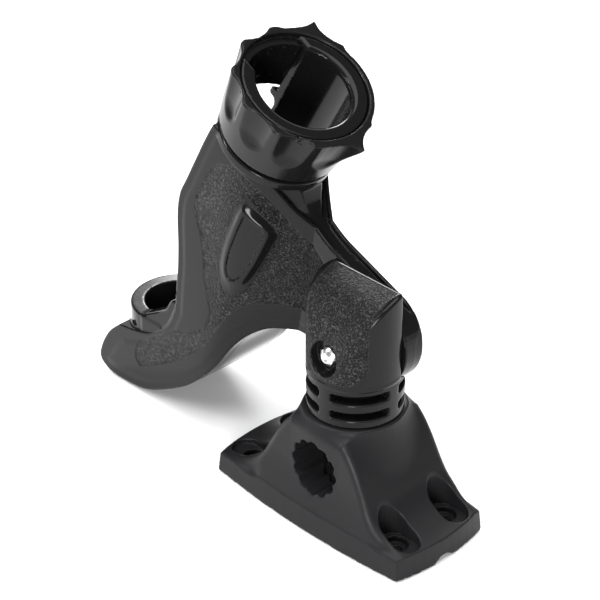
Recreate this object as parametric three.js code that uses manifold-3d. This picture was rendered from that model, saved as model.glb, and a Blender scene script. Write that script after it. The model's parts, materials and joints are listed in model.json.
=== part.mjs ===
// Fishing rod holder: a splined deck mount, a swivel post with a ribbed collar and a side lug,
// a tilting rod cradle with a C-shaped mouth, a lobed lock ring, and the pivot fasteners.
// Millimetres, +Z up. Origin: centre of the mount's underside. +X points to the front of the mount,
// and the cradle rises over its rear half. The pivot's axis runs along Y.
import * as THREE from "three";
import { mergeVertices } from "three/addons/utils/BufferGeometryUtils.js";
import Module from "manifold-3d";

const wasm = await Module();
wasm.setup();

// ---- driving dimensions -------------------------------------------------------------------
const GAP = 0.3; // clearance between pieces that meet

const BASE = { halfLength: 63.5, halfWidth: 30.2, bulge: 4, rim: 10, boss: 61, bossR: 25.5 };
const POST_X = 4.5; // the post stands a little forward of the plate's middle
const SPLINE = { teeth: 12, r: 13.6, depth: 1.2, bottom: 14 };
const SIDE_BORE_Z = 35.4;
const SCREW = { x: 49.5, y: 17, hole: 3.4, pocket: 7.5, stretch: 5, floor: 5 };

const COLLAR = { r: 24, bottom: BASE.boss + GAP, top: 84, core: 17, armRest: 75, slots: [[65.6, 69.7], [74.6, 79.2]] };
const LUG = { top: 129, face: 7.6, spring: 80 };
const PIVOT = new THREE.Vector3(POST_X, 0, 95.4);
const DISC = { r: 25.3, near: 8, thick: 12 };
const MID_Y = DISC.near + DISC.thick / 2; // the cradle's plane of symmetry

const BOLT = { r: 3, head: 5.3, headH: 3.3, seat: -17.5, hex: 2.3, washerR: 7, washerT: 1.6, nutAF: 10 };

const TILT = THREE.MathUtils.degToRad(60.6); // the rod axis above the horizontal
const MOUTH = new THREE.Vector3(-45.1, MID_Y, 208.2); // centre of the cradle's mouth
const TUBE = { bore: 23.7, outer: 27.5, lip: 31.5, lipT: 3, length: 160, slot: 16.2 };
const FLANGE = { r: 30.5, near: 36.6, far: 42 };
const HALF = 27; // half the cradle's full width
// Where the cradle's sides start to lean in and where they meet the arm, at z = 0, and how far that moves per mm up.
const LEAN = { full: -93, thin: -57.2, forward: 0.191 };
const CUP = { x: -142, r: 25.5, bore: 17.6, top: 48.5, floor: 12 };

const RING = { lobes: 11, tip: 36.6, valley: 33.3, end: 31.4, bore: 28, mouth: 32, length: 34, ears: [3, 130], ear: 6.9 };

// ---- materials ----------------------------------------------------------------------------
const plastic = (color, roughness) => new THREE.MeshStandardMaterial({ color, roughness, metalness: 0 });
const matteBlack = plastic(0x151516, 0.62);
const glossBlack = plastic(0x0b0b0c, 0.22);
const satinBlack = plastic(0x101011, 0.35);
const nylon = plastic(0x2f5fa8, 0.5);
const steel = new THREE.MeshStandardMaterial({ color: 0xc3c5c8, roughness: 0.28, metalness: 1 });

// ---- solids -------------------------------------------------------------------------------
// A closed geometry as a manifold solid, turned inside out where its faces point in.
function solid(geometry, matrix) {
  let g = geometry.clone();
  for (const name of Object.keys(g.attributes)) if (name !== "position") g.deleteAttribute(name);
  if (matrix) g.applyMatrix4(matrix);
  g = mergeVertices(g, 1e-4);
  const p = g.attributes.position;
  const index = [];
  for (let i = 0; i < g.index.count; i += 3) {
    const [a, b, c] = [0, 1, 2].map((k) => g.index.getX(i + k));
    if (a !== b && b !== c && c !== a) index.push(a, b, c);
  }
  const at = (i) => new THREE.Vector3().fromBufferAttribute(p, i);
  let volume = 0;
  for (let i = 0; i < index.length; i += 3) {
    volume += at(index[i]).dot(at(index[i + 1]).cross(at(index[i + 2])));
  }
  if (volume < 0) index.reverse();
  const mesh = new wasm.Mesh({
    numProp: 3,
    vertProperties: new Float32Array(p.array),
    triVerts: new Uint32Array(index),
  });
  return new wasm.Manifold(mesh);
}

const join = (...parts) => parts.reduce((a, b) => a.add(b));
const cut = (body, ...tools) => tools.reduce((a, b) => a.subtract(b), body);

function meshOf(name, body, material) {
  const m = body.getMesh();
  const geometry = new THREE.BufferGeometry();
  geometry.setAttribute("position", new THREE.BufferAttribute(new Float32Array(m.vertProperties), 3));
  geometry.setIndex([...m.triVerts]);
  geometry.computeVertexNormals();
  const mesh = new THREE.Mesh(geometry, material);
  mesh.name = name;
  return mesh;
}

const move = (x, y, z) => new THREE.Matrix4().makeTranslation(x, y, z);
const toZ = new THREE.Matrix4().makeRotationX(Math.PI / 2); // a Y axis becomes +Z
// A frame whose local +Z is world +Y, local X is world X: XZ outlines extrude along Y.
const alongY = new THREE.Matrix4().makeBasis(
  new THREE.Vector3(1, 0, 0), new THREE.Vector3(0, 0, 1), new THREE.Vector3(0, -1, 0));
// A frame whose local +Z is world +X, local X is world Y and local Y is world Z.
const alongX = new THREE.Matrix4().makeBasis(
  new THREE.Vector3(0, 1, 0), new THREE.Vector3(0, 0, 1), new THREE.Vector3(1, 0, 0));
// The rod's frame: +Z out of the mouth, +X to the cradle's underside, +Y across.
const rodFrame = new THREE.Matrix4().makeBasis(
  new THREE.Vector3(Math.sin(TILT), 0, -Math.cos(TILT)), new THREE.Vector3(0, 1, 0),
  new THREE.Vector3(Math.cos(TILT), 0, Math.sin(TILT))).setPosition(MOUTH);

const box = (x0, x1, y0, y1, z0, z1) =>
  solid(new THREE.BoxGeometry(x1 - x0, y1 - y0, z1 - z0), move((x0 + x1) / 2, (y0 + y1) / 2, (z0 + z1) / 2));
// A cylinder about local Z, from z0 to z1, optionally tapering from r0 to r1.
const rod = (r0, z0, z1, frame = new THREE.Matrix4(), sides = 48, r1 = r0) =>
  solid(new THREE.CylinderGeometry(r1, r0, z1 - z0, sides),
    frame.clone().multiply(move(0, 0, (z0 + z1) / 2)).multiply(toZ));
const rodY = (x, z, r, y0, y1, sides = 48, r1 = r) => rod(r1, -y1, -y0, move(x, 0, z).multiply(alongY), sides, r);
// An outline in the XZ plane made into a slab from y0 to y1, with rounded edges of radius r.
function slab(shape, y0, y1, r = 0, steps = 3, curveSegments = 10) {
  const g = new THREE.ExtrudeGeometry(shape, {
    depth: y1 - y0 - 2 * r, curveSegments, bevelEnabled: r > 0,
    bevelThickness: r, bevelSize: r, bevelOffset: -r, bevelSegments: steps,
  });
  return solid(g, move(0, y1 - r, 0).multiply(alongY));
}
const shapeOf = (points) => new THREE.Shape(points.map(([x, y]) => new THREE.Vector2(x, y)));
const smooth = (points, count) =>
  new THREE.SplineCurve(points.map(([x, y]) => new THREE.Vector2(x, y))).getPoints(count).map((v) => [v.x, v.y]);

// A body through closed sections {z, points}, all with the same number of points.
function loft(sections, frame = new THREE.Matrix4()) {
  const n = sections[0].points.length;
  const position = sections.flatMap((s) => s.points.flatMap(([x, y]) => [x, y, s.z]));
  const index = [];
  for (let k = 0; k + 1 < sections.length; k++) {
    for (let i = 0; i < n; i++) {
      const [a, b] = [k * n + i, k * n + ((i + 1) % n)];
      index.push(a, b, b + n, a, b + n, a + n);
    }
  }
  const flat = sections[0].points.map(([x, y]) => new THREE.Vector2(x, y));
  const last = (sections.length - 1) * n;
  for (const [a, b, c] of THREE.ShapeUtils.triangulateShape(flat, [])) {
    index.push(c, b, a, last + a, last + b, last + c);
  }
  const g = new THREE.BufferGeometry();
  g.setAttribute("position", new THREE.Float32BufferAttribute(position, 3));
  g.setIndex(index);
  return solid(g, frame);
}

// A round section whose radius swings between r and r + depth, `teeth` times around.
function toothed(teeth, r, depth, perTooth = 6, turn = 0) {
  return Array.from({ length: teeth * perTooth }, (_, i) => {
    const a = (i / (teeth * perTooth)) * 2 * Math.PI + turn;
    const radius = r + depth * Math.abs(Math.cos((i / perTooth) * Math.PI));
    return [radius * Math.cos(a), radius * Math.sin(a)];
  });
}

// ---- mount base ---------------------------------------------------------------------------
// The plate's outline: four corners joined by shallow arcs, the same number of points at any inset.
function plateOutline(inset, bulge = BASE.bulge, perSide = 8) {
  const [a, b] = [BASE.halfLength - inset, BASE.halfWidth - inset];
  const corners = [[a, -b], [a, b], [-a, b], [-a, -b]];
  return corners.flatMap(([x0, y0], k) => {
    const [x1, y1] = corners[(k + 1) % 4];
    const out = new THREE.Vector2(y1 - y0, x0 - x1).normalize();
    return Array.from({ length: perSide }, (_, i) => {
      const t = i / perSide;
      const lift = bulge * 4 * t * (1 - t);
      return [x0 + (x1 - x0) * t + out.x * lift, y0 + (y1 - y0) * t + out.y * lift];
    });
  });
}

function mountBase() {
  const plate = loft([
    { z: 0, points: plateOutline(0) },
    { z: BASE.rim * 0.35, points: plateOutline(0.5) },
    { z: BASE.rim, points: plateOutline(1.2, BASE.bulge * 0.35) },
  ]);
  // Half of the bell's profile: distance from the post's axis, height.
  const half = [[12, 60.5], [19.5, 55], [24.5, 49.5], [29, 42], [34.3, 31.4], [38.6, 24], [45, 18], [52, 14.5]];
  const right = smooth(half, 18).map(([d, z]) => [POST_X + d, z]);
  const left = smooth(half, 18).map(([d, z]) => [POST_X - d, z]).reverse();
  const end = BASE.halfLength - 1.4;
  const bell = shapeOf([[-end, 1], [end, 1], [end, 11.6], ...right.reverse(), ...left.reverse(), [-end, 11.6]]);
  const flank = 28.8;
  let body = join(plate, slab(bell, -flank, flank, 2.2, 3), rod(BASE.bossR, 20, BASE.boss, move(POST_X, 0, 0), 64));
  const socket = toothed(SPLINE.teeth, SPLINE.r + GAP, SPLINE.depth);
  const down = loft([{ z: SPLINE.bottom - 1, points: socket }, { z: BASE.boss + 5, points: socket }], move(POST_X, 0, 0));
  const across = loft([{ z: -50, points: socket }, { z: 50, points: socket }],
    move(POST_X, 0, SIDE_BORE_Z).multiply(alongY));
  const pockets = [];
  for (const sx of [-1, 1]) {
    for (const sy of [-1, 1]) {
      const at = move(sx * SCREW.x, sy * SCREW.y, 0);
      const further = move(sx * (SCREW.x + SCREW.stretch), sy * SCREW.y, 0);
      pockets.push(rod(SCREW.hole, -5, 30, at, 20), rod(SCREW.pocket, SCREW.floor, 40, at, 28),
        rod(SCREW.pocket - 1, BASE.rim - 1, 40, further, 28));
    }
  }
  const drain = rod(6, -10, 10, move(BASE.halfLength + BASE.bulge, 0, -3.5).multiply(alongX), 24);
  body = cut(body, down, across, drain, ...pockets);
  return meshOf("mount_base", body, matteBlack);
}

// ---- swivel post --------------------------------------------------------------------------
function swivelPost() {
  const axis = move(POST_X, 0, 0);
  const stemSection = toothed(SPLINE.teeth, SPLINE.r, SPLINE.depth);
  const stem = loft([
    { z: SPLINE.bottom, points: toothed(SPLINE.teeth, SPLINE.r - 1, SPLINE.depth) },
    { z: SPLINE.bottom + 1.5, points: stemSection },
    { z: COLLAR.bottom + 1, points: stemSection },
  ], axis);
  let collar = rod(COLLAR.r, COLLAR.bottom, COLLAR.top, axis, 72);
  // Windows between the ribs: four sectors in each of two levels.
  for (const [z0, z1] of COLLAR.slots) {
    for (let k = 0; k < 4; k++) {
      const from = THREE.MathUtils.degToRad(-76 + 90 * k);
      const to = from + THREE.MathUtils.degToRad(73);
      const sector = new THREE.Shape();
      sector.absarc(0, 0, COLLAR.r + 2, from, to, false);
      sector.absarc(0, 0, COLLAR.core, to, from, true);
      const g = new THREE.ExtrudeGeometry(sector, { depth: z1 - z0, bevelEnabled: false, curveSegments: 14 });
      collar = collar.subtract(solid(g, move(POST_X, 0, z0)));
    }
  }
  // The lug: a half round over the near side, whose outer face leans in to a straight top edge.
  const lean = new THREE.Shape();
  lean.moveTo(LUG.face, LUG.spring - 2);
  lean.lineTo(LUG.face, LUG.top - 2);
  lean.absellipse(LUG.face, LUG.spring, COLLAR.r + LUG.face, LUG.top - LUG.spring, Math.PI / 2, Math.PI, false, 0);
  lean.lineTo(-COLLAR.r, LUG.spring - 2);
  const leaning = solid(new THREE.ExtrudeGeometry(lean, { depth: 80, bevelEnabled: false, curveSegments: 16 }),
    move(POST_X - 40, 0, 0).multiply(alongX));
  const lug = rod(COLLAR.r, COLLAR.top - 3, LUG.top + 1, axis, 72).intersect(leaning);
  const saddle = rodY(PIVOT.x, PIVOT.z, DISC.r + GAP, LUG.face, 40, 64);
  const armRest = box(POST_X - 40, POST_X, LUG.face, 40, COLLAR.armRest, 120); // the arm lies over this side
  const hole = rodY(PIVOT.x, PIVOT.z, BOLT.r + 0.2, -40, 40, 32);
  const counterbore = rodY(PIVOT.x, PIVOT.z, 8.5, -40, BOLT.seat, 40);
  return meshOf("swivel_post", cut(join(stem, collar, lug), saddle, armRest, hole, counterbore), glossBlack);
}

// ---- cradle -------------------------------------------------------------------------------
function cradleBody() {
  // The side walls' outline: down the rear edge, around the toe, and along the arch to the tube.
  const rear = smooth([[-74, 192], [-80.5, 184.5], [-91.5, 165.6], [-101.1, 147.5], [-106.8, 136.7], [-109.3, 124],
    [-109.6, 106], [-110.2, 94], [-111.5, 80]], 14);
  const crease = smooth([[-114, 64], [-121, 53], [-134, 42], [-150, 38]], 8);
  const toe = smooth([[-161, 35.5], [-169, 27], [-176.5, 15.7], [-178.5, 6.5], [-170, 1.4], [-157, 0.6], [-141.5, 2.7],
    [-125.6, 9.8], [-106.7, 21.5], [-93.8, 33.4], [-85, 44], [-76, 57.3], [-67, 67.5], [-58, 74]], 36);
  const front = [[-36, 76], [-28, 110], [-33, 138.3], [-42, 150.5], [-51.4, 164.5], [-56, 176], [-60, 186]];
  const wall = shapeOf([...rear, ...crease, ...toe, ...front]);
  let body = slab(wall, MID_Y - HALF, MID_Y + HALF, 5, 3);
  // The wall's outer faces lean in towards the pivot, from the full width to the arm's thickness.
  for (const side of [-1, 1]) {
    const y = (w) => MID_Y + side * w;
    const wedge = shapeOf([[LEAN.full, y(HALF + 6)], [LEAN.full, y(HALF)], [LEAN.thin, y(DISC.thick / 2 - 0.7)],
      [PIVOT.x, y(DISC.thick / 2 - 0.7)], [PIVOT.x, y(HALF + 6)]]);
    // The lean's foot moves forward with height, so the cut is sheared along X.
    const shear = new THREE.Matrix4().makeShear(0, 0, 0, 0, LEAN.forward, 0);
    const g = new THREE.ExtrudeGeometry(wedge, { depth: 220, bevelEnabled: false });
    body = body.subtract(solid(g, shear.multiply(move(0, 0, -10))));
  }
  // The arm: a flat web from the tube to the pivot disc.
  const arm = new THREE.Shape();
  const reach = DISC.r;
  arm.moveTo(-62, 72);
  arm.lineTo(-49, 75.5);
  arm.absarc(PIVOT.x, PIVOT.z, reach, Math.PI + 0.86, 2 * Math.PI + 1.17, false);
  arm.lineTo(-18, 131.6);
  arm.lineTo(-33, 138.3);
  arm.lineTo(-46, 146);
  arm.lineTo(-70, 140);
  body = body.add(slab(arm, DISC.near, DISC.near + DISC.thick, 1.6, 2, 40));
  body = body.subtract(rod(90, -FLANGE.near - 1, 60, rodFrame)); // nothing but the tube passes the flange
  // Behind the flange the tube's rear edges end within the walls.
  const shoulder = solid(
    new THREE.ExtrudeGeometry(shapeOf([[-40, -61], [-14, -61], [-18, -41], [-40, -41]]), { depth: 80, bevelEnabled: false }),
    rodFrame.clone().multiply(move(0, 40, 0)).multiply(alongY));
  // The rod tube with its mouth lip, the flange behind the lock ring, and the butt cup.
  body = join(body,
    cut(rod(TUBE.outer, -60, -1, rodFrame, 64), shoulder),
    rod(TUBE.lip, -TUBE.lipT, 0, rodFrame, 64),
    rod(FLANGE.r, -FLANGE.far, -FLANGE.near, rodFrame, 64),
    rod(CUP.r, 16, CUP.top, move(CUP.x, MID_Y, 0), 56));
  // Hollows: the trough's bore and its slot, the narrowing to the cup, the butt's pocket, the pivot.
  const slotLength = TUBE.length + 10;
  const slot = solid(new THREE.BoxGeometry(60, 2 * TUBE.slot, slotLength),
    rodFrame.clone().multiply(move(-30, 0, 10 - slotLength / 2)));
  const trough = rod(TUBE.bore, -130, 10, rodFrame, 64);
  const funnel = rod(CUP.bore - 0.5, -172, -128, rodFrame, 64, TUBE.bore - 0.5);
  const pocket = rod(CUP.bore, CUP.floor, 90, move(CUP.x, MID_Y, 0), 56);
  body = cut(body, slot, trough, funnel, pocket, rodY(PIVOT.x, PIVOT.z, BOLT.r + 0.2, 0, 40, 32));
  return meshOf("cradle_body", body, glossBlack);
}

// ---- lock ring ----------------------------------------------------------------------------
// One section of the ring's outside: lobes with hollow finger flats between them, two of the lobes longer
// than the rest.
function lobed(tip, valley, ear = 0, perLobe = 8) {
  const count = RING.lobes * perLobe;
  return Array.from({ length: count }, (_, i) => {
    const degrees = RING.ears[0] + (i / count) * 360;
    const t = Math.abs(((i % perLobe) / perLobe) * 2 - 1); // 1 at a tip, 0 in the valley
    const turns = RING.ears.map((at) => Math.abs(((((degrees - at + 180) % 360) + 360) % 360) - 180));
    const reach = Math.max(0, 1 - Math.min(...turns) / 26);
    const radius = valley + (tip - valley) * t ** 1.8 + ear * reach;
    const a = THREE.MathUtils.degToRad(degrees);
    return [radius * Math.cos(a), radius * Math.sin(a)];
  });
}

function lockRing() {
  const outside = loft([
    { z: -RING.length, points: lobed(RING.end, RING.end) },
    { z: -22, points: lobed(RING.end + 1.9, RING.end + 0.6, RING.ear * 0.2) },
    { z: -12, points: lobed(RING.tip - 1.9, RING.valley - 1, RING.ear * 0.6) },
    { z: -1, points: lobed(RING.tip, RING.valley, RING.ear) },
    { z: 0.4, points: lobed(RING.tip - 0.6, RING.valley - 0.5, RING.ear - 0.3) },
  ], rodFrame);
  const bore = rod(RING.bore, -60, 10, rodFrame, 64);
  const mouth = rod(RING.mouth, -TUBE.lipT - GAP, 10, rodFrame, 64);
  return meshOf("lock_ring", cut(outside, bore, mouth), satinBlack);
}

// ---- pivot fasteners ----------------------------------------------------------------------
const hexagon = (acrossFlats) =>
  Array.from({ length: 6 }, (_, i) => {
    const a = (i / 6) * 2 * Math.PI;
    return [(acrossFlats / Math.sqrt(3)) * Math.cos(a), (acrossFlats / Math.sqrt(3)) * Math.sin(a)];
  });
const pivotFrame = move(PIVOT.x, 0, PIVOT.z).multiply(alongY);
// A turned piece about the pivot: profile points are [radius, y].
const turned = (profile, sides = 40) =>
  solid(new THREE.LatheGeometry(profile.map(([r, y]) => new THREE.Vector2(r, -y)), sides),
    pivotFrame.clone().multiply(toZ));

const nearFace = DISC.near + DISC.thick + 0.1;
const washerFace = nearFace + BOLT.washerT;
const nutFace = washerFace + 0.1;

function pivotBolt() {
  const seat = BOLT.seat - 0.05;
  const head = [[0, seat - BOLT.headH], [2.6, seat - BOLT.headH], [4.2, seat - 2.4], [5.1, seat - 1.2], [BOLT.head, seat]];
  const body = turned([...head, [BOLT.r, seat], [BOLT.r, nutFace + 7.6], [BOLT.r - 0.6, nutFace + 8.2], [0, nutFace + 8.2]]);
  const key = hexagon(2 * BOLT.hex * 0.87);
  const socket = loft([{ z: -seat + BOLT.headH - 2, points: key }, { z: -seat + BOLT.headH + 3, points: key }], pivotFrame);
  return meshOf("pivot_bolt", body.subtract(socket), steel);
}

function pivotWasher() {
  const r = BOLT.r + 0.2;
  const ring = [[r, nearFace], [BOLT.washerR, nearFace], [BOLT.washerR, washerFace], [r, washerFace], [r, nearFace]];
  return meshOf("pivot_washer", turned(ring), steel);
}

function pivotNut() {
  const hex = loft([{ z: -nutFace - 5, points: hexagon(BOLT.nutAF) }, { z: -nutFace, points: hexagon(BOLT.nutAF) }],
    pivotFrame);
  const crown = rodY(PIVOT.x, PIVOT.z, 4.8, nutFace + 4, nutFace + 7.4, 32);
  const bore = rodY(PIVOT.x, PIVOT.z, BOLT.r + 0.05, nutFace - 2, nutFace + 9, 32);
  const recess = rodY(PIVOT.x, PIVOT.z, 4.3, nutFace + 5, nutFace + 9, 32);
  return meshOf("pivot_nut", cut(join(hex, crown), bore, recess), steel);
}

function nutInsert() {
  const [y0, y1, r0, r1] = [nutFace + 5.1, nutFace + 7.2, BOLT.r + 0.05, 4.25];
  return meshOf("nut_insert", turned([[r0, y0], [r1, y0], [r1, y1], [r0, y1], [r0, y0]], 32), nylon);
}

const group = new THREE.Group();
group.add(mountBase(), swivelPost(), cradleBody(), lockRing(), pivotBolt(), pivotWasher(), pivotNut(), nutInsert());
export default group;
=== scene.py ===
"""Looks of a fishing rod holder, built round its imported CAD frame.

Each moulding is one smooth surface: a signed distance in millimetres, made from outlines, cylinders
and rounded joins, turned into a mesh. Positions are the frame's: +Z up, +X to the front of the mount,
and the cradle's plane of symmetry at y = MID_Y.
"""
import json
import math

import bpy
import numpy as np
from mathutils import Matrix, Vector


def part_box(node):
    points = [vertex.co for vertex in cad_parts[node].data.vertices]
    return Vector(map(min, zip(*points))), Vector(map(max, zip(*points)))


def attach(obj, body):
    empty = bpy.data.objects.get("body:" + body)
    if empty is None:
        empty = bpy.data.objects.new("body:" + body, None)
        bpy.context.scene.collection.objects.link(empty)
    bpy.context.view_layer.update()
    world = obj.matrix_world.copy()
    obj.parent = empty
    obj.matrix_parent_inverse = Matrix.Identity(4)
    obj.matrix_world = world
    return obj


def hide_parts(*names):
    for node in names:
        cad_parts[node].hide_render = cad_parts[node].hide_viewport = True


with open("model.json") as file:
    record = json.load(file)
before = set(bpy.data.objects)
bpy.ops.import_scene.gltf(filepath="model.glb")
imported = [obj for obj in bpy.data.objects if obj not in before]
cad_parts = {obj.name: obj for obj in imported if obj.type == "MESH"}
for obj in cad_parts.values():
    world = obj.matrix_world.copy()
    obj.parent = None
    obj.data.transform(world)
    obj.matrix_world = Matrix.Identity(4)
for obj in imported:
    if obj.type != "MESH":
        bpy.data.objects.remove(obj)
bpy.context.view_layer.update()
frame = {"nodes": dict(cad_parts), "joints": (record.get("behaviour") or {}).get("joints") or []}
MM = 0.001
FINE = 0.9  # size of the mesh's cells

# ---- places taken from the frame, in millimetres ------------------------------------------------
joints = {j["name"]: j for j in frame["joints"]}
PIVOT = np.array(joints["cradle_tilt"]["pos_m"]) / MM
MOUTH = np.array(joints["lock_ring_turn"]["pos_m"]) / MM
ROD_AXIS = np.array(joints["lock_ring_turn"]["axis"])  # points out of the mouth
POST_X = PIVOT[0]
MID_Y = MOUTH[1]
BOSS_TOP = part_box("mount_base")[1][2] / MM


# ---- signed distances ---------------------------------------------------------------------------
def ease(value, start, end):
    """0 at start, 1 at end, smooth between."""
    t = np.clip((value - start) / (end - start), 0, 1)
    return t * t * (3 - 2 * t)


def meet(a, b, r=0.0):
    """The overlap of two solids, with an edge of radius r."""
    return np.minimum(np.maximum(a, b), -r) + np.hypot(np.maximum(a + r, 0), np.maximum(b + r, 0))


def join(a, b, r=0.0):
    """Both solids, with a fillet of radius r."""
    return -meet(-a, -b, r)


def carve(a, tool, r=0.0):
    """The first solid without the second, with an edge of radius r."""
    return meet(a, -tool, r)


def between(value, low, high):
    """Distance to the slab from low to high."""
    return np.abs(value - (low + high) / 2) - (high - low) / 2


def spline(points, per_span=6):
    """A smooth open curve through the points."""
    p = np.array(points, float)
    ends = np.vstack([2 * p[0] - p[1], p, 2 * p[-1] - p[-2]])
    curve = []
    for a, b, c, d in zip(ends[:-3], ends[1:-2], ends[2:-1], ends[3:]):
        square, cube = 2 * a - 5 * b + 4 * c - d, 3 * b - a - 3 * c + d
        for t in np.arange(per_span) / per_span:
            curve.append(tuple(0.5 * (2 * b + (c - a) * t + square * t**2 + cube * t**3)))
    return curve + [tuple(p[-1])]


def arc(centre, radius, start, end, count):
    """Points on an arc, from one angle to another in degrees."""
    angles = np.radians(np.linspace(start, end, count))
    return [(centre[0] + radius * math.cos(a), centre[1] + radius * math.sin(a)) for a in angles]


class Outline:
    """A closed outline in a plane. Calling it gives the distance to it, negative inside."""

    def __init__(self, points):
        self.a = np.array(points, float)
        self.b = np.roll(self.a, -1, 0)

    def __call__(self, u, v):
        u, v = np.broadcast_arrays(np.asarray(u, float), np.asarray(v, float))
        nearest = np.full(u.shape, np.inf)
        inside = np.zeros(u.shape, bool)
        for (ax, ay), (bx, by) in zip(self.a, self.b):
            ex, ey = bx - ax, by - ay
            length2 = ex * ex + ey * ey
            if length2 < 1e-12:
                continue
            t = np.clip(((u - ax) * ex + (v - ay) * ey) / length2, 0, 1)
            np.minimum(nearest, (u - ax - ex * t) ** 2 + (v - ay - ey * t) ** 2, out=nearest)
            if ey:
                inside ^= ((ay <= v) != (by <= v)) & (u < ax + (v - ay) * ex / ey)
        return np.where(inside, -1, 1) * np.sqrt(nearest)


# ---- from a distance to a mesh ------------------------------------------------------------------
CUBE_EDGES = [(np.array(a), np.array(b)) for a in np.ndindex(2, 2, 2) for b in np.ndindex(2, 2, 2)
              if sum(b) == sum(a) + 1 and all(q >= p for p, q in zip(a, b))]


def gradient(field, p, reach):
    """The field's slope at each point, from samples at reach to either side."""
    steps = np.eye(3) * reach
    return np.stack([field(*(p + s).T) - field(*(p - s).T) for s in steps], 1) / (2 * reach)


def sample(field, axes, slab=24):
    """The field on a grid, in slabs along X to save memory."""
    y, z = axes[1][None, :, None], axes[2][None, None, :]
    out = np.empty(tuple(len(a) for a in axes), np.float32)
    for i in range(0, len(out), slab):
        out[i:i + slab] = field(axes[0][i:i + slab, None, None], y, z)
    return out


def surface(field, low, high, step):
    """Vertices, normals and quads of the surface where field is 0, in millimetres."""
    axes = [np.arange(l - 2 * step, h + 3 * step, step) for l, h in zip(low, high)]
    values = sample(field, axes)
    inside = values < 0

    # One vertex in each cell that the surface crosses, at the mean of its crossed edges.
    halves = [slice(0, -1), slice(1, None)]
    count = sum(inside[halves[i], halves[j], halves[k]].astype(np.int8) for i, j, k in np.ndindex(2, 2, 2))
    crossed_cells = (count > 0) & (count < 8)
    corner = np.argwhere(crossed_cells)
    index = np.full(crossed_cells.shape, -1, np.int64)
    index[crossed_cells] = np.arange(len(corner))
    total, hits = np.zeros((len(corner), 3)), np.zeros(len(corner))
    for a, b in CUBE_EDGES:
        at_a, at_b = values[tuple((corner + a).T)], values[tuple((corner + b).T)]
        crossed = (at_a < 0) != (at_b < 0)
        t = at_a[crossed] / (at_a[crossed] - at_b[crossed])
        total[crossed] += a + t[:, None] * (b - a)
        hits[crossed] += 1
    points = (corner + total / hits[:, None]) * step + [a[0] for a in axes]

    # One quad round each crossed grid edge, turned to face outwards.
    quads = []
    for axis in range(3):
        first, second = (axis + 1) % 3, (axis + 2) % 3
        at = np.argwhere(np.diff(inside, axis=axis))
        ring = []
        for back_first, back_second in ((1, 1), (0, 1), (0, 0), (1, 0)):
            near = at.copy()
            near[:, first] -= back_first
            near[:, second] -= back_second
            ring.append(index[tuple(near.T)])
        ring = np.stack(ring, 1)
        quads.append(np.where(inside[tuple(at.T)][:, None], ring, ring[:, ::-1]))

    # Two steps along the slope put each vertex on the surface.
    for _ in range(2):
        slope = gradient(field, points, 0.05)
        steepness = np.maximum((slope**2).sum(1), 0.05)
        points -= np.clip(field(*points.T) / steepness, -step, step)[:, None] * slope
    normals = gradient(field, points, 0.12)
    normals /= np.linalg.norm(normals, axis=1)[:, None] + 1e-9
    return points, normals, np.concatenate(quads)


def moulding(name, field, node, body, material, grain=None):
    """A smooth moulding that stands for a CAD node. grain gives the share of leather grain at a point."""
    low, high = (np.array(corner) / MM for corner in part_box(node))
    points, normals, quads = surface(field, low, high, FINE)
    mesh = bpy.data.meshes.new(name)
    mesh.vertices.add(len(points))
    mesh.vertices.foreach_set("co", (points * MM).astype(np.float32).ravel())
    mesh.loops.add(quads.size)
    mesh.loops.foreach_set("vertex_index", quads.astype(np.int32).ravel())
    mesh.polygons.add(len(quads))
    mesh.polygons.foreach_set("loop_start", np.arange(0, quads.size, 4, dtype=np.int32))
    mesh.update(calc_edges=True)
    mesh.validate()
    if grain:
        attribute = mesh.attributes.new("grain", "FLOAT", "POINT")
        attribute.data.foreach_set("value", grain(*points.T).astype(np.float32))
    mesh.shade_smooth()
    mesh.normals_split_custom_set_from_vertices([tuple(n) for n in normals])
    mesh.materials.append(material)
    obj = bpy.data.objects.new(name, mesh)
    bpy.context.scene.collection.objects.link(obj)
    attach(obj, body)
    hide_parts(node)


# ---- materials ----------------------------------------------------------------------------------
SHEEN = 0.16  # specular level of the plastics
GRAIN_MM, GRAIN_DEPTH = 0.8, 1.3
# painted highlight: a lighter colour for the grain's high spots, standing in for the glints that light
# would give them
GRAIN_GLINT_PAINT = (0.15, 0.15, 0.155)  # the grain's high spots


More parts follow.
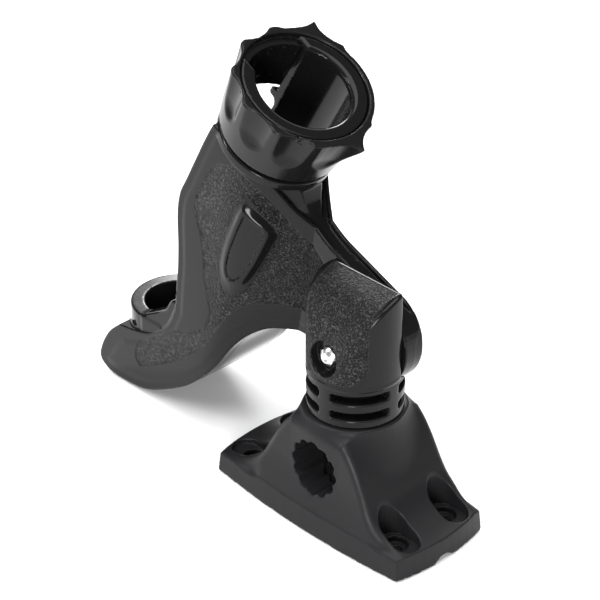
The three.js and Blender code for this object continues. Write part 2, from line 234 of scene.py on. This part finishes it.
def plastic(name, color, roughness, fine_depth=0.02, grain_roughness=None):
    """Moulded plastic with a faint waviness, and a leather grain where the grain attribute is 1, with a
    painted highlight: a lighter colour on the grain's high spots.
    """
    material = bpy.data.materials.new(name)
    material.use_nodes = True
    nodes, links = material.node_tree.nodes, material.node_tree.links
    shader = nodes["Principled BSDF"]
    shader.inputs["Base Color"].default_value = (*color, 1)
    shader.inputs["Specular IOR Level"].default_value = SHEEN
    place = nodes.new("ShaderNodeTexCoord").outputs["Object"]

    def noise(scale, detail):
        node = nodes.new("ShaderNodeTexNoise")
        node.inputs["Scale"].default_value = scale
        node.inputs["Detail"].default_value = detail
        links.new(place, node.inputs["Vector"])
        return node.outputs["Fac"]

    def math_node(operation, a, b):
        node = nodes.new("ShaderNodeMath")
        node.operation = operation
        for socket, value in zip(node.inputs, (a, b)):
            if isinstance(value, (int, float)):
                socket.default_value = value
            else:
                links.new(value, socket)
        return node.outputs[0]

    def bump(height, depth_mm, below=None):
        node = nodes.new("ShaderNodeBump")
        node.inputs["Strength"].default_value = 1.0
        node.inputs["Distance"].default_value = depth_mm * MM
        links.new(height, node.inputs["Height"])
        if below is not None:
            links.new(below, node.inputs["Normal"])
        return node.outputs["Normal"]

    waves, sparkle, smudge = noise(60.0, 1.0), noise(1600.0, 3.0), noise(35.0, 4.0)
    normal = bump(sparkle, fine_depth, bump(waves, 0.05))
    spread = math_node("MULTIPLY", math_node("SUBTRACT", smudge, 0.5), roughness * 0.5)
    rough = math_node("ADD", spread, roughness)
    if grain_roughness:
        area = nodes.new("ShaderNodeAttribute")
        area.attribute_name = "grain"
        amount = area.outputs["Fac"]
        cells = nodes.new("ShaderNodeTexVoronoi")
        cells.feature = "SMOOTH_F1"
        cells.inputs["Scale"].default_value = 1000.0 / GRAIN_MM
        cells.inputs["Detail"].default_value = 2.0
        cells.inputs["Smoothness"].default_value = 0.6
        links.new(place, cells.inputs["Vector"])
        warp = noise(900.0 / GRAIN_MM, 3.0)
        pebbles = math_node("ADD", math_node("MULTIPLY", cells.outputs["Distance"], -1.0), warp)
        normal = bump(math_node("MULTIPLY", pebbles, amount), GRAIN_DEPTH, normal)
        # Painted highlight: the grain's high spots get the lighter colour, standing in for their glints.
        painted_glint = math_node("MULTIPLY", math_node("SUBTRACT", warp, 0.5), amount)
        glint_mix = nodes.new("ShaderNodeMix")
        glint_mix.data_type = "RGBA"
        glint_mix.inputs["A"].default_value = (*color, 1)
        glint_mix.inputs["B"].default_value = (*GRAIN_GLINT_PAINT, 1)
        links.new(math_node("MULTIPLY", painted_glint, 3.0), glint_mix.inputs["Factor"])
        links.new(glint_mix.outputs["Result"], shader.inputs["Base Color"])
        rough = math_node("ADD", rough, math_node("MULTIPLY", amount, grain_roughness - roughness))
    links.new(rough, shader.inputs["Roughness"])
    links.new(normal, shader.inputs["Normal"])
    return material


def steel():
    """Bright stainless steel with a faint turned finish."""
    material = bpy.data.materials.new("stainless")
    material.use_nodes = True
    nodes, links = material.node_tree.nodes, material.node_tree.links
    shader = nodes["Principled BSDF"]
    shader.inputs["Base Color"].default_value = (0.72, 0.72, 0.73, 1)
    shader.inputs["Metallic"].default_value = 1.0
    noise = nodes.new("ShaderNodeTexNoise")
    noise.inputs["Scale"].default_value = 700.0
    links.new(nodes.new("ShaderNodeTexCoord").outputs["Object"], noise.inputs["Vector"])
    span = nodes.new("ShaderNodeMapRange")
    span.inputs["To Min"].default_value = 0.18
    span.inputs["To Max"].default_value = 0.34
    links.new(noise.outputs["Fac"], span.inputs["Value"])
    links.new(span.outputs["Result"], shader.inputs["Roughness"])
    return material


# ---- mount base ---------------------------------------------------------------------------------
PLATE_X, PLATE_Y, PLATE_BULGE, PLATE_TOP, PLATE_DRAFT = 63.0, 30.0, 3.9, 11.0, 0.1
BELL_HALF_Y, BELL_FLARE, BELL_DRAFT = 28.8, 5.0, 0.035
BOSS_R, BOSS_LOW, BOSS_DRAFT = 25.4, 30.0, 0.02
SOCKET_TEETH = 12
TOP_SOCKET_R, TOP_SOCKET_FLOOR = 13.8, 13.0
SIDE_SOCKET_R, SIDE_SOCKET_Z = 13.4, 35.4
POCKET_X, POCKET_Y, POCKET_R, POCKET_FLOOR = 49.5, 17.0, 7.4, 8.5
SEAT_R, SEAT_FLOOR, SCREW_R = 6.2, 5.0, 3.4
DRAIN_R, DRAIN_Y, DRAIN_Z, DRAIN_END_X = 7.6, -0.4, -5.0, 58.0


def scalloped(u, v, r, depth):
    """A round hole whose wall has pointed scallops."""
    turn = (np.arctan2(v, u) * SOCKET_TEETH / (2 * math.pi)) % 1
    return np.hypot(u, v) - r - depth * np.abs(np.cos(turn * math.pi))


def bulged_box(half_x, half_y, bulge):
    """Four corners joined by shallow arcs."""
    corners = [(half_x, -half_y), (half_x, half_y), (-half_x, half_y), (-half_x, -half_y)]
    points = []
    for (x0, y0), (x1, y1) in zip(corners, corners[1:] + corners[:1]):
        out = np.array([y1 - y0, x0 - x1]) / math.hypot(x1 - x0, y1 - y0)
        for t in np.arange(10) / 10:
            lift = bulge * 4 * t * (1 - t)
            points.append((x0 + (x1 - x0) * t + out[0] * lift, y0 + (y1 - y0) * t + out[1] * lift))
    return Outline(points)


PLATE = bulged_box(PLATE_X, PLATE_Y, PLATE_BULGE)
half_bell = spline([(17.7, 56.5), (22.5, 51.6), (28.0, 43.5), (33.8, 32.5), (38.6, 24.0), (46.0, 17.5),
                    (56.0, 12.6), (66.0, 8.5)])
BELL = Outline([(POST_X + d, z) for d, z in reversed(half_bell)] + [(POST_X - d, z) for d, z in half_bell]
               + [(POST_X - 80, 8.0), (POST_X - 80, -5.0), (POST_X + 80, -5.0), (POST_X + 80, 8.0)])


def screw_pocket(x, y, z, side_x, side_y):
    """A long pocket that is open above, with the screw's seat and hole in its floor."""
    px, py = side_x * POCKET_X, side_y * POCKET_Y
    along = np.clip(side_x * (x - px), -1.5, 6.0)
    slot = meet(np.hypot(x - px - side_x * along, y - py) - POCKET_R, POCKET_FLOOR - z)
    off = np.hypot(x - px, y - py)
    return join(join(slot, meet(off - SEAT_R, SEAT_FLOOR - z, 0.3), 0.2), off - SCREW_R, 0.2)


def mount_field(x, y, z):
    plate = PLATE(x, y)
    side = plate + PLATE_DRAFT * z
    rim = meet(meet(side, z - PLATE_TOP, 1.2), -z, 0.6)
    # The long sides run straight down to the plate's edge, but for a ledge at either end.
    middle = ease(np.abs(x - POST_X - 2.0), 47.0, 36.0) * (1 - (x / PLATE_X) ** 2)
    flare = BELL_FLARE * middle * (1 - ease(z, 1.0, 34.0))
    flank = np.abs(y) - BELL_HALF_Y - flare + BELL_DRAFT * np.maximum(z - 8, 0)
    bell = meet(meet(BELL(x, z), flank, 4.0), plate + 0.1, 0.6)
    boss = meet(np.hypot(x - POST_X, y) - BOSS_R + BOSS_DRAFT * (z - 60), z - BOSS_TOP, 1.0)
    boss = meet(boss, BOSS_LOW - z)
    body = np.maximum(join(rim, bell, 3.0), side)
    body = meet(join(body, boss, 7.0), z - BOSS_TOP, 0.8)
    for side_x in (-1, 1):
        for side_y in (-1, 1):
            body = carve(body, screw_pocket(x, y, z, side_x, side_y), 0.7)
    body = carve(body, scalloped(x - POST_X, z - SIDE_SOCKET_Z, SIDE_SOCKET_R, 1.5), 0.5)
    body = carve(body, meet(scalloped(x - POST_X, y, TOP_SOCKET_R, 1.2), TOP_SOCKET_FLOOR - z), 0.6)
    drain = np.hypot(y - DRAIN_Y, z - DRAIN_Z) - DRAIN_R
    body = carve(body, meet(drain, DRAIN_END_X - x), 0.4)
    return meet(body, -z, 0.5)


# ---- swivel post --------------------------------------------------------------------------------
STEM_R, STEM_LOW, STEM_HIGH = 13.6, 14.0, 63.0
COLLAR_R, COLLAR_LOW, COLLAR_HIGH = 24.0, 61.3, 84.0
WINDOWS = [(65.6, 69.7), (74.6, 79.2)]  # the heights of the two rows
WINDOW_AT, WINDOW_HALF, WINDOW_FLOOR_R = -39.5, 36.5, 17.0  # the first one's place, in degrees
LUG_TOP, LUG_FACE, LUG_SPRING, LUG_LOW = 129.0, 7.6, 80.0, 82.0
DISC_R = 25.3
BOLT_R, BOLT_HEAD_R, BOLT_SEAT = 3.2, 8.5, -17.5
GRAIN_HALF_X, GRAIN_LOW, GRAIN_CORNER = 20.5, 85.5, 9.0


def lug_lean(y, z):
    """The lug's outer face: upright at first, then leaning over in a quarter ellipse to the top edge."""
    a, b = COLLAR_R + LUG_FACE, LUG_TOP - LUG_SPRING
    u, v = np.minimum(y - LUG_FACE, 0), np.maximum(z - LUG_SPRING, 0)
    k = np.hypot(u / a, v / b)
    return (k - 1) * k / np.maximum(np.hypot(u / a**2, v / b**2), 1e-3)


def post_field(x, y, z):
    u = x - POST_X
    rho = np.hypot(u, y)
    from_pivot = np.hypot(x - PIVOT[0], z - PIVOT[2])
    stem = meet(scalloped(u, y, STEM_R, 1.2), between(z, STEM_LOW, STEM_HIGH), 1.0)
    collar = meet(rho - COLLAR_R, between(z, COLLAR_LOW, COLLAR_HIGH), 0.8)
    azimuth = np.degrees(np.arctan2(y, u))
    off_window = (azimuth - WINDOW_AT + 45.0) % 90.0 - 45.0
    along = (np.abs(off_window) - WINDOW_HALF) * rho * math.pi / 180
    for low, high in WINDOWS:
        window = meet(meet(along, between(z, low, high), 1.2), WINDOW_FLOOR_R - rho, 1.0)
        collar = carve(collar, window, 0.8)
    lug = meet(meet(rho - COLLAR_R - 0.15, lug_lean(y, z), 1.5), y - LUG_FACE, 0.8)
    lug = meet(lug, LUG_LOW - z, 0.4)
    body = join(join(stem, collar, 0.3), lug, 0.6)
    saddle = meet(from_pivot - DISC_R - 0.4, LUG_FACE - y)
    body = carve(body, saddle, 0.7)
    arm_rest = meet(meet(u, LUG_FACE - y), 75.0 - z)
    body = carve(body, arm_rest, 0.5)
    body = carve(body, meet(from_pivot - BOLT_HEAD_R, y - BOLT_SEAT), 0.7)
    return carve(body, from_pivot - BOLT_R, 0.2)


def post_grain(x, y, z):
    """1 on the lug's outer face, inside a smooth border."""
    u = x - POST_X
    side = np.minimum(GRAIN_HALF_X - np.abs(u), LUG_FACE - 2.0 - y)
    corner = -meet(-side, GRAIN_LOW - z, GRAIN_CORNER)
    bolt = np.hypot(u, z - PIVOT[2]) - BOLT_HEAD_R - 1.1
    return ease(np.minimum(corner, bolt), -0.3, 0.5)


# ---- cradle: outlines in the plane of symmetry --------------------------------------------------
rear_edge = spline([(-74, 193), (-80.5, 184.5), (-86.2, 175.3), (-91.5, 165.6), (-101.1, 147.5),
                    (-106.8, 136.7), (-109.3, 124), (-109.6, 106), (-110.2, 94), (-111.5, 84)])
cup_foot = spline([(-113.5, 66), (-121, 52), (-135, 41), (-150, 37)])
toe_edge = spline([(-160, 35.5), (-169, 27), (-175.8, 15.7), (-177.6, 6.5), (-170, 1.4), (-157, 0.7),
                   (-141.5, 2.9), (-125.6, 10.0), (-106.7, 21.7), (-93.8, 33.4), (-85, 43.3),
                   (-76, 57.3), (-67, 67.6), (-57.5, 73.8), (-47, 75.4), (-36, 75.6)])
disc_edge = arc((PIVOT[0], PIVOT[2]), DISC_R - 0.1, 229.3, 427.0, 40)
ahead_of_rims = [(-4, 134), (-22, 144), (-56, 190)]
CRADLE = Outline(rear_edge + cup_foot + toe_edge + disc_edge + ahead_of_rims)

# The grained panel on each side, and the blank name plate that stands on the near one.
panel_rear = spline([(-73, 165), (-80, 162.5), (-88, 151.5), (-94, 140), (-95, 130), (-91.7, 119),
                     (-90.0, 108), (-89.8, 95), (-87.8, 85), (-87.0, 74), (-91, 64.5)])
panel_heel = spline([(-99, 58.6), (-116, 51.5), (-129, 43), (-140, 35.6)])
panel_sole = spline([(-144.8, 30.5), (-147.2, 22), (-143.5, 17.0), (-136, 19.8), (-122, 28.5),
                     (-108.2, 38), (-99.5, 45.8), (-89, 57.4), (-83.4, 66.5), (-78, 75), (-73, 81),
                     (-67, 86), (-59.5, 89), (-50, 90.2), (-38, 89.3), (-16, 86.5)])
panel_front = spline([(-26, 121), (-36, 131.5), (-47, 147), (-57.5, 160.5), (-65, 167.0)])
PANEL = Outline(panel_rear + panel_heel + panel_sole + [(-10, 118)] + panel_front)
PLATE_EDGE = Outline(spline([(-61.1, 144.2), (-55.5, 140.5), (-51.0, 136.8), (-50.6, 131.7),
                             (-56.4, 117.8), (-62.7, 106.6), (-69.0, 99.9), (-74.0, 101.2),
                             (-75.4, 108.0), (-72.8, 118.3), (-67.4, 131.4), (-62.0, 143.8)], 4)[:-1])
PLATE_FOOT = Outline(spline([(-60.7, 151.5), (-54.5, 142.0), (-48.3, 133.4), (-50.8, 127.0),
                             (-60.8, 106.3), (-66.4, 96.2), (-72.5, 92.2), (-77.6, 97.2),
                             (-77.9, 107.7), (-74.6, 121.8), (-68.0, 137.8), (-61.6, 150.8)], 4)[:-1])

# Behind the butt cup each wall drops to the cup's rim in an S.
shoulder_top = spline([(-107, 70.3), (-114, 69.8), (-119.5, 67.0), (-123.5, 61.0), (-128.5, 57.0),
                       (-136, 52.5), (-143, 48.5)])
SHOULDER = Outline([(-98, 70.0)] + shoulder_top + [(-143, 30.0), (-98, 30.0)])


# ---- cradle -------------------------------------------------------------------------------------
BORE_R, BORE_TAPER, BORE_END, SLOT_HALF = 23.7, 6.1, 176.0, 16.2
NECK_R, NECK_STEP, NECK_END = 27.5, 2.0, 67.0
LIP_R, LIP_THICK = 31.5, 3.0
FLANGE_R, FLANGE_NEAR, FLANGE_FAR = 30.4, 36.6, 42.0
CUP_X, CUP_R, CUP_BORE, CUP_LOW, CUP_TOP, CUP_FLOOR = -142.0, 25.3, 17.6, 14.0, 48.5, 12.0
HALF_WIDTH, ARM_HALF = 26.9, 6.0
RIM_HEIGHT, RIM_THICK, RIM_PROUD = 2.4, 2.3, 1.3
WALL_ROUND, NOSE_ROUND, RIM_ROUND = 7.0, 4.5, 0.8
PLATE_LIP, PLATE_SUNK = 1.8, 0.9


def rod_frame(x, y, z):
    """Depth below the mouth along the rod's axis, distance to the cradle's underside, distance across."""
    dx, dz = x - MOUTH[0], z - MOUTH[2]
    return -(dx * ROD_AXIS[0] + dz * ROD_AXIS[2]), dx * ROD_AXIS[2] - dz * ROD_AXIS[0], y - MID_Y


def rim_line(x, z):
    """Distance to the line of the cradle's front rims, negative towards the rod."""
    upper = 0.836 * (x + 51.4) + 0.549 * (z - 164.5)
    lower = 0.38 * (x + 18.0) + 0.925 * (z - 131.4)
    return join(upper, lower, 9.0)


def half_width(x, z):
    """Half the cradle's width: full at the tube, narrowing to the arm at the pivot."""
    lean = -29.35 - 0.6056 * x + 0.1157 * z
    narrowed = HALF_WIDTH - 2.5 * np.log1p(np.exp(np.clip((HALF_WIDTH - lean) / 2.5, -30, 30)))
    return np.maximum(narrowed, ARM_HALF)


def side_walls(x, z, edge, step, past_side):
    """Both walls as one block, with rounded outer edges and a slightly sunk panel on each side."""
    sunk = (0.2 + 0.9 * ease(step, -26.0, -8.0)) * ease(PANEL(x, z), 0.4, -0.5)
    by_rim = ease(-step, 14.0, 4.0) * ease(x, -74.0, -58.0)
    nose = ease(x, -130.0, -160.0) * ease(z, 2.0, 16.0)
    soft = WALL_ROUND - (WALL_ROUND - RIM_ROUND) * by_rim + NOSE_ROUND * nose
    walls = meet(edge, (past_side + sunk) / 1.08, soft)
    between_rims = meet(-step - RIM_HEIGHT, past_side + RIM_THICK)
    return carve(walls, between_rims, 0.5)


def front_web(x, q, edge, step, past_side, neck):
    """The front face, which lies lower between two rims and sweeps up into the tube."""
    sweep = 0.5 + 22.0 * ease(q, 0.0, 14.0) * ease(-past_side, 1.5, 7.0)
    front = join(meet(edge, step + RIM_HEIGHT), neck, sweep)
    web = meet(front, past_side + 0.3, 0.5)
    rim = meet(front - RIM_PROUD * ease(x, 0.0, -16.0), between(past_side, -RIM_THICK, 0.0), 0.6)
    return np.minimum(web, meet(rim, between(step, -12.0, 0.0), 0.3))


def with_name_plate(walls, x, z, above):
    """The walls with the near one's plate: a raised border with sloping sides round a blank field."""
    height = 1.0 + 0.115 * np.clip(x + 78.0, 0, 32)  # the wall's face leans away from the plate's
    edge = PLATE_EDGE(x, z)
    climb = np.clip(above / height, 0, 1)
    skirt = PLATE_FOOT(x, z) * (1 - climb) + edge * climb
    plate = meet(meet(0.8 * skirt, above - height, 0.9), -above - 3.0)
    return carve(join(walls, plate, 1.0), meet(edge + PLATE_LIP, height - PLATE_SUNK - above, 0.3), 0.5)


def rod_space(x, z, s, q, across):
    """The round bore, open to the rear and tapered at its end, and the butt cup's pocket."""
    bore = np.hypot(q, across) - BORE_R + BORE_TAPER * ease(s, 124, 172)
    slot = meet(np.abs(across) - SLOT_HALF, q)
    trough = meet(join(bore, slot), s - BORE_END, 4.0)
    pocket = meet(np.hypot(x - CUP_X, across) - CUP_BORE, CUP_FLOOR - z, 2.0)
    return join(trough, meet(pocket, z - 75.0), 1.5)


def cradle_field(x, y, z):
    s, q, across = rod_frame(x, y, z)
    rho, side = np.hypot(q, across), np.abs(across)
    width, step = half_width(x, z), rim_line(x, z)
    edge = np.maximum(CRADLE(x, z), step)
    past_side = side - width

    neck_end = NECK_END - 23.0 * ease(q, 0.0, -10.0)
    neck = meet(meet(rho - NECK_R + NECK_STEP * ease(s, 40.0, 44.0), s - neck_end, 0.5), 1.0 - s)
    walls = side_walls(x, z, edge, step, past_side)
    walls = join(walls, front_web(x, q, edge, step, past_side, neck), 0.5)
    walls = with_name_plate(walls, x, z, -across - width)
    walls = join(walls, meet(SHOULDER(x, z), side - CUP_R, 2.0), 1.6)
    walls = meet(walls, FLANGE_NEAR + 1.5 - s, 0.5)
    body = np.minimum(neck, meet(join(walls, neck, 2.0), FLANGE_NEAR + 0.5 - s))

    body = join(body, meet(rho - FLANGE_R, between(s, FLANGE_NEAR, FLANGE_FAR), 1.2), 0.6)
    body = join(body, meet(rho - LIP_R, between(s, 0.0, LIP_THICK), 1.0), 0.3)
    cup = meet(np.hypot(np.minimum(x - CUP_X, 0), across) - CUP_R, x + 125.0, 3.0)
    body = join(body, meet(meet(cup, z - CUP_TOP, 1.0), CUP_LOW - z), 1.6)
    mouth_round = 0.8 + 2.2 * ease(s, 20.0, 6.0)
    body = carve(body, rod_space(x, z, s, q, across), mouth_round)
    return carve(body, np.hypot(x - PIVOT[0], z - PIVOT[2]) - BOLT_R, 0.2)


def cradle_grain(x, y, z):
    """1 on the side panels, outside the name plate's smooth border."""
    across = y - MID_Y
    on_face = ease(np.abs(across) - half_width(x, z), -2.2, -1.6)
    panel = ease(PANEL(x, z), 0.2, -0.6)
    border = np.where(across < 0, PLATE_FOOT(x, z), 9.0)
    return panel * on_face * ease(border, 0.6, 1.4)


# ---- lock ring ----------------------------------------------------------------------------------
RING_LOBES, RING_TIP, RING_VALLEY, RING_END, RING_LENGTH = 11, 36.4, 33.1, 31.2, 33.9
RING_BORE, RING_RECESS, RECESS_DEPTH = 28.0, 32.0, 3.3
EARS, EAR_REACH = (3.0, 130.0), 7.0  # the two long lobes, in degrees round the ring
FINGER_R, FINGER_DEPTH = 16.0, 14.0
CLICK_ROWS, CLICK_STEP, CLICK_R = (7.5, 24.0), math.radians(15), 0.7


def ring_field(x, y, z):
    s, q, across = rod_frame(x, y, z)
    rho, turn = np.hypot(q, across), np.arctan2(across, q)
    degrees = np.degrees(turn)
    ear, foot = 0.0, 0.0
    for at in EARS:
        off = np.abs((degrees - at + 180) % 360 - 180)
        ear = ear + 1 - ease(off, 2.0, 28.0)
        foot = foot + 1 - ease(off, 15.0, 36.0)
    plain = ease(np.abs(degrees - sum(EARS) / 2), 46.0, 32.0)  # the stretch between the long lobes
    near_mouth = 1 - ease(s, -3.0, 32.0)
    tip = RING_TIP + EAR_REACH * ear * near_mouth - 1.2 * plain
    outside = rho - RING_END - (tip - RING_END) * (1 - np.clip(s / RING_LENGTH, 0, 1))
    body = meet(outside * 0.96, between(s, -0.4, RING_LENGTH), 1.0)

    # Finger hollows: round scoops between the lobes that run out before the ring's lower end.
    pitch = 2 * math.pi / RING_LOBES
    from_valley = (turn - math.radians(EARS[0])) % pitch - pitch / 2
    floor = RING_VALLEY + (3.0 * foot + 2.4 * plain) * near_mouth - 0.09 * s
    u, v = rho * np.cos(from_valley) - floor - FINGER_R, rho * np.sin(from_valley)
    body = meet(body, FINGER_R - np.sqrt(u**2 + v**2 + np.maximum(s - FINGER_DEPTH, 0) ** 2), 0.7)
    body = carve(body, rho - RING_BORE, 0.6)
    body = carve(body, meet(rho - RING_RECESS, s - RECESS_DEPTH), 0.6)

    # Two rows of small click marks inside the ring.
    from_click = (turn % CLICK_STEP - CLICK_STEP / 2) * RING_BORE
    from_row = np.maximum(np.minimum(*(np.abs(s - row) for row in CLICK_ROWS)) - 1.5, 0)
    click = np.sqrt((rho - RING_BORE - 0.1) ** 2 + from_click**2 + from_row**2) - CLICK_R
    return join(body, click, 0.4)


# ---- pieces -------------------------------------------------------------------------------------
BLACK = (0.006, 0.006, 0.0065)
moulding("mount_moulding", mount_field, "mount_base", "base",
         plastic("mount_plastic", (0.011, 0.011, 0.012), 0.42, 0.05))
moulding("post_moulding", post_field, "swivel_post", "post",
         plastic("post_plastic", BLACK, 0.15, 0.004, 0.30), post_grain)
moulding("cradle_moulding", cradle_field, "cradle_body", "cradle",
         plastic("cradle_plastic", BLACK, 0.12, 0.004, 0.28), cradle_grain)
moulding("ring_moulding", ring_field, "lock_ring", "ring",
         plastic("ring_plastic", BLACK, 0.22, 0.01))

stainless = steel()
nylon = plastic("nut_nylon", (0.02, 0.09, 0.42), 0.45)
for node, finish in (("pivot_bolt", stainless), ("pivot_washer", stainless), ("pivot_nut", stainless),
                     ("nut_insert", nylon)):
    frame["nodes"][node].data.materials.clear()
    frame["nodes"][node].data.materials.append(finish)

# ---- room, in metres ----------------------------------------------------------------------------
bpy.ops.mesh.primitive_plane_add(size=6, location=(0, 0, -0.0005))
floor = bpy.context.object
floor.name = "floor"
pale = bpy.data.materials.new("pale_floor")
pale.use_nodes = True
pale.node_tree.nodes["Principled BSDF"].inputs["Base Color"].default_value = (0.92, 0.92, 0.92, 1)
pale.node_tree.nodes["Principled BSDF"].inputs["Roughness"].default_value = 0.9
floor.data.materials.append(pale)

world = bpy.data.worlds.new("studio")
world.use_nodes = True
world.node_tree.nodes["Background"].inputs["Color"].default_value = (1, 1, 1, 1)
world.node_tree.nodes["Background"].inputs["Strength"].default_value = 0.2
bpy.context.scene.world = world
bpy.context.scene.view_settings.view_transform = "Standard"


def aim(obj, place, target):
    """Puts a light or camera at a place, looking at the target, and adds it to the scene."""
    obj.location = place
    obj.rotation_euler = (Vector(target) - obj.location).to_track_quat("-Z", "Y").to_euler()
    bpy.context.scene.collection.objects.link(obj)


def softbox(name, place, target, size, power):
    light = bpy.data.lights.new(name, "AREA")
    light.shape = "RECTANGLE"
    light.size, light.size_y = size
    light.energy = power
    aim(bpy.data.objects.new(name, light), place, target)


softbox("overhead", (0.0, 0.0, 2.4), (0, 0, 0), (2.4, 2.4), 78)
softbox("backdrop", (-1.5, 1.5, 1.15), (-0.05, 0, 0.1), (2.4, 1.5), 16)
softbox("back", (-0.95, 0.9, 0.8), (-0.05, 0, 0.05), (0.35, 0.6), 12)
softbox("front", (0.75, -1.0, 0.45), (-0.04, 0, 0.12), (0.3, 0.5), 15)
softbox("side", (-0.6, -0.9, 0.9), (-0.06, 0, 0.12), (0.12, 0.8), 10)

camera = bpy.data.cameras.new("camera")
camera.lens = 132
camera.sensor_width = 36
eye = bpy.data.objects.new("camera", camera)
aim(eye, (0.6196, -0.6281, 0.6645), (-0.0347, 0.0006, 0.1010))
bpy.context.scene.camera = eye
